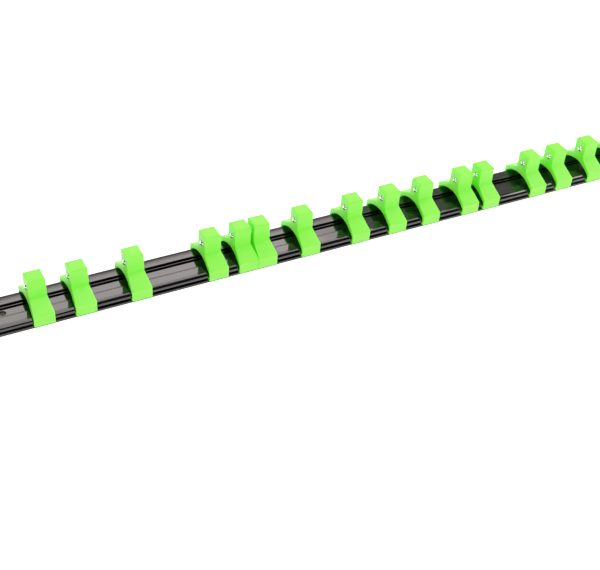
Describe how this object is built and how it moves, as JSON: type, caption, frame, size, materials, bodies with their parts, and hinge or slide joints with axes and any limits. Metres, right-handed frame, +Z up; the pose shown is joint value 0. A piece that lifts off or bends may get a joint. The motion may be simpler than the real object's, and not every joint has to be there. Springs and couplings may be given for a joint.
{
  "type": "socket rail",
  "caption": "Extruded aluminium rail with moulded clips that slide along it, each with a square drive post and a spring-loaded detent ball to hold a socket.",
  "frame": {"origin": "middle of the rail's underside", "axes": "+X along the rail to the right of the picture, +Y across it away from the viewer, +Z up through the posts"},
  "size_m": [0.57, 0.0374, 0.0318],
  "materials": {
    "rail": "gloss black anodised",
    "clip": "moulded, satin gloss",
    "ball": "polished steel",
    "spring": "drawn steel wire"
  },
  "bodies": {
    "rail": {"rail": "rail"},
    "clip_01": {"clip_01": "clip", "detent_spring_01": "spring"},
    "ball_01": {"detent_ball_01": "ball"},
    "clip_02": {"clip_02": "clip", "detent_spring_02": "spring"},
    "ball_02": {"detent_ball_02": "ball"},
    "clip_03": {"clip_03": "clip", "detent_spring_03": "spring"},
    "ball_03": {"detent_ball_03": "ball"},
    "clip_04": {"clip_04": "clip", "detent_spring_04": "spring"},
    "ball_04": {"detent_ball_04": "ball"},
    "clip_05": {"clip_05": "clip", "detent_spring_05": "spring"},
    "ball_05": {"detent_ball_05": "ball"},
    "clip_06": {"clip_06": "clip", "detent_spring_06": "spring"},
    "ball_06": {"detent_ball_06": "ball"},
    "clip_07": {"clip_07": "clip", "detent_spring_07": "spring"},
    "ball_07": {"detent_ball_07": "ball"},
    "clip_08": {"clip_08": "clip", "detent_spring_08": "spring"},
    "ball_08": {"detent_ball_08": "ball"},
    "clip_09": {"clip_09": "clip", "detent_spring_09": "spring"},
    "ball_09": {"detent_ball_09": "ball"},
    "clip_10": {"clip_10": "clip", "detent_spring_10": "spring"},
    "ball_10": {"detent_ball_10": "ball"},
    "clip_11": {"clip_11": "clip", "detent_spring_11": "spring"},
    "ball_11": {"detent_ball_11": "ball"},
    "clip_12": {"clip_12": "clip", "detent_spring_12": "spring"},
    "ball_12": {"detent_ball_12": "ball"},
    "clip_13": {"clip_13": "clip", "detent_spring_13": "spring"},
    "ball_13": {"detent_ball_13": "ball"},
    "clip_14": {"clip_14": "clip", "detent_spring_14": "spring"},
    "ball_14": {"detent_ball_14": "ball"},
    "clip_15": {"clip_15": "clip", "detent_spring_15": "spring"},
    "ball_15": {"detent_ball_15": "ball"},
    "clip_16": {"clip_16": "clip", "detent_spring_16": "spring"},
    "ball_16": {"detent_ball_16": "ball"}
  },
  "joints": [
    {"name": "clip_01_slide", "type": "slide", "parent": "rail", "child": "clip_01", "axis": [1, 0, 0], "range_m": [-0.02619, 0.01469]},
    {"name": "clip_02_slide", "type": "slide", "parent": "rail", "child": "clip_02", "axis": [1, 0, 0], "range_m": [-0.01469, 0.02569]},
    {"name": "clip_03_slide", "type": "slide", "parent": "rail", "child": "clip_03", "axis": [1, 0, 0], "range_m": [-0.02569, 0.04382]},
    {"name": "clip_04_slide", "type": "slide", "parent": "rail", "child": "clip_04", "axis": [1, 0, 0], "range_m": [-0.04382, 0.0088]},
    {"name": "clip_05_slide", "type": "slide", "parent": "rail", "child": "clip_05", "axis": [1, 0, 0], "range_m": [-0.0088, 0.0002]},
    {"name": "clip_06_slide", "type": "slide", "parent": "rail", "child": "clip_06", "axis": [1, 0, 0], "range_m": [-0.0002, 0.02069]},
    {"name": "clip_07_slide", "type": "slide", "parent": "rail", "child": "clip_07", "axis": [1, 0, 0], "range_m": [-0.02069, 0.02779]},
    {"name": "clip_08_slide", "type": "slide", "parent": "rail", "child": "clip_08", "axis": [1, 0, 0], "range_m": [-0.02779, 0.01759]},
    {"name": "clip_09_slide", "type": "slide", "parent": "rail", "child": "clip_09", "axis": [1, 0, 0], "range_m": [-0.01759, 0.01539]},
    {"name": "clip_10_slide", "type": "slide", "parent": "rail", "child": "clip_10", "axis": [1, 0, 0], "range_m": [-0.01539, 0.02169]},
    {"name": "clip_11_slide", "type": "slide", "parent": "rail", "child": "clip_11", "axis": [1, 0, 0], "range_m": [-0.02169, 0.005]},
    {"name": "clip_12_slide", "type": "slide", "parent": "rail", "child": "clip_12", "axis": [1, 0, 0], "range_m": [-0.005, 0.03099]},
    {"name": "clip_13_slide", "type": "slide", "parent": "rail", "child": "clip_13", "axis": [1, 0, 0], "range_m": [-0.03099, 0.0112]},
    {"name": "clip_14_slide", "type": "slide", "parent": "rail", "child": "clip_14", "axis": [1, 0, 0], "range_m": [-0.0112, 0.01709]},
    {"name": "clip_15_slide", "type": "slide", "parent": "rail", "child": "clip_15", "axis": [1, 0, 0], "range_m": [-0.01709, 0.01719]},
    {"name": "clip_16_slide", "type": "slide", "parent": "rail", "child": "clip_16", "axis": [1, 0, 0], "range_m": [-0.01719, 0.02469]},
    {"name": "ball_01_press", "type": "slide", "parent": "clip_01", "child": "ball_01", "axis": [1, 0, 0], "range_m": [0, 0.0013], "stiffness_N_per_m": 2000, "springref_m": -0.0015, "deforming": ["detent_spring_01"]},
    {"name": "ball_02_press", "type": "slide", "parent": "clip_02", "child": "ball_02", "axis": [1, 0, 0], "range_m": [0, 0.0013], "stiffness_N_per_m": 2000, "springref_m": -0.0015, "deforming": ["detent_spring_02"]},
    {"name": "ball_03_press", "type": "slide", "parent": "clip_03", "child": "ball_03", "axis": [1, 0, 0], "range_m": [0, 0.0013], "stiffness_N_per_m": 2000, "springref_m": -0.0015, "deforming": ["detent_spring_03"]},
    {"name": "ball_04_press", "type": "slide", "parent": "clip_04", "child": "ball_04", "axis": [1, 0, 0], "range_m": [0, 0.0013], "stiffness_N_per_m": 2000, "springref_m": -0.0015, "deforming": ["detent_spring_04"]},
    {"name": "ball_05_press", "type": "slide", "parent": "clip_05", "child": "ball_05", "axis": [1, 0, 0], "range_m": [0, 0.0013], "stiffness_N_per_m": 2000, "springref_m": -0.0015, "deforming": ["detent_spring_05"]},
    {"name": "ball_06_press", "type": "slide", "parent": "clip_06", "child": "ball_06", "axis": [1, 0, 0], "range_m": [0, 0.0013], "stiffness_N_per_m": 2000, "springref_m": -0.0015, "deforming": ["detent_spring_06"]},
    {"name": "ball_07_press", "type": "slide", "parent": "clip_07", "child": "ball_07", "axis": [1, 0, 0], "range_m": [0, 0.0013], "stiffness_N_per_m": 2000, "springref_m": -0.0015, "deforming": ["detent_spring_07"]},
    {"name": "ball_08_press", "type": "slide", "parent": "clip_08", "child": "ball_08", "axis": [1, 0, 0], "range_m": [0, 0.0013], "stiffness_N_per_m": 2000, "springref_m": -0.0015, "deforming": ["detent_spring_08"]},
    {"name": "ball_09_press", "type": "slide", "parent": "clip_09", "child": "ball_09", "axis": [1, 0, 0], "range_m": [0, 0.0013], "stiffness_N_per_m": 2000, "springref_m": -0.0015, "deforming": ["detent_spring_09"]},
    {"name": "ball_10_press", "type": "slide", "parent": "clip_10", "child": "ball_10", "axis": [1, 0, 0], "range_m": [0, 0.0013], "stiffness_N_per_m": 2000, "springref_m": -0.0015, "deforming": ["detent_spring_10"]},
    {"name": "ball_11_press", "type": "slide", "parent": "clip_11", "child": "ball_11", "axis": [1, 0, 0], "range_m": [0, 0.0013], "stiffness_N_per_m": 2000, "springref_m": -0.0015, "deforming": ["detent_spring_11"]},
    {"name": "ball_12_press", "type": "slide", "parent": "clip_12", "child": "ball_12", "axis": [1, 0, 0], "range_m": [0, 0.0013], "stiffness_N_per_m": 2000, "springref_m": -0.0015, "deforming": ["detent_spring_12"]},
    {"name": "ball_13_press", "type": "slide", "parent": "clip_13", "child": "ball_13", "axis": [1, 0, 0], "range_m": [0, 0.0013], "stiffness_N_per_m": 2000, "springref_m": -0.0015, "deforming": ["detent_spring_13"]},
    {"name": "ball_14_press", "type": "slide", "parent": "clip_14", "child": "ball_14", "axis": [1, 0, 0], "range_m": [0, 0.0013], "stiffness_N_per_m": 2000, "springref_m": -0.0015, "deforming": ["detent_spring_14"]},
    {"name": "ball_15_press", "type": "slide", "parent": "clip_15", "child": "ball_15", "axis": [1, 0, 0], "range_m": [0, 0.0013], "stiffness_N_per_m": 2000, "springref_m": -0.0015, "deforming": ["detent_spring_15"]},
    {"name": "ball_16_press", "type": "slide", "parent": "clip_16", "child": "ball_16", "axis": [1, 0, 0], "range_m": [0, 0.0013], "stiffness_N_per_m": 2000, "springref_m": -0.0015, "deforming": ["detent_spring_16"]}
  ]
}
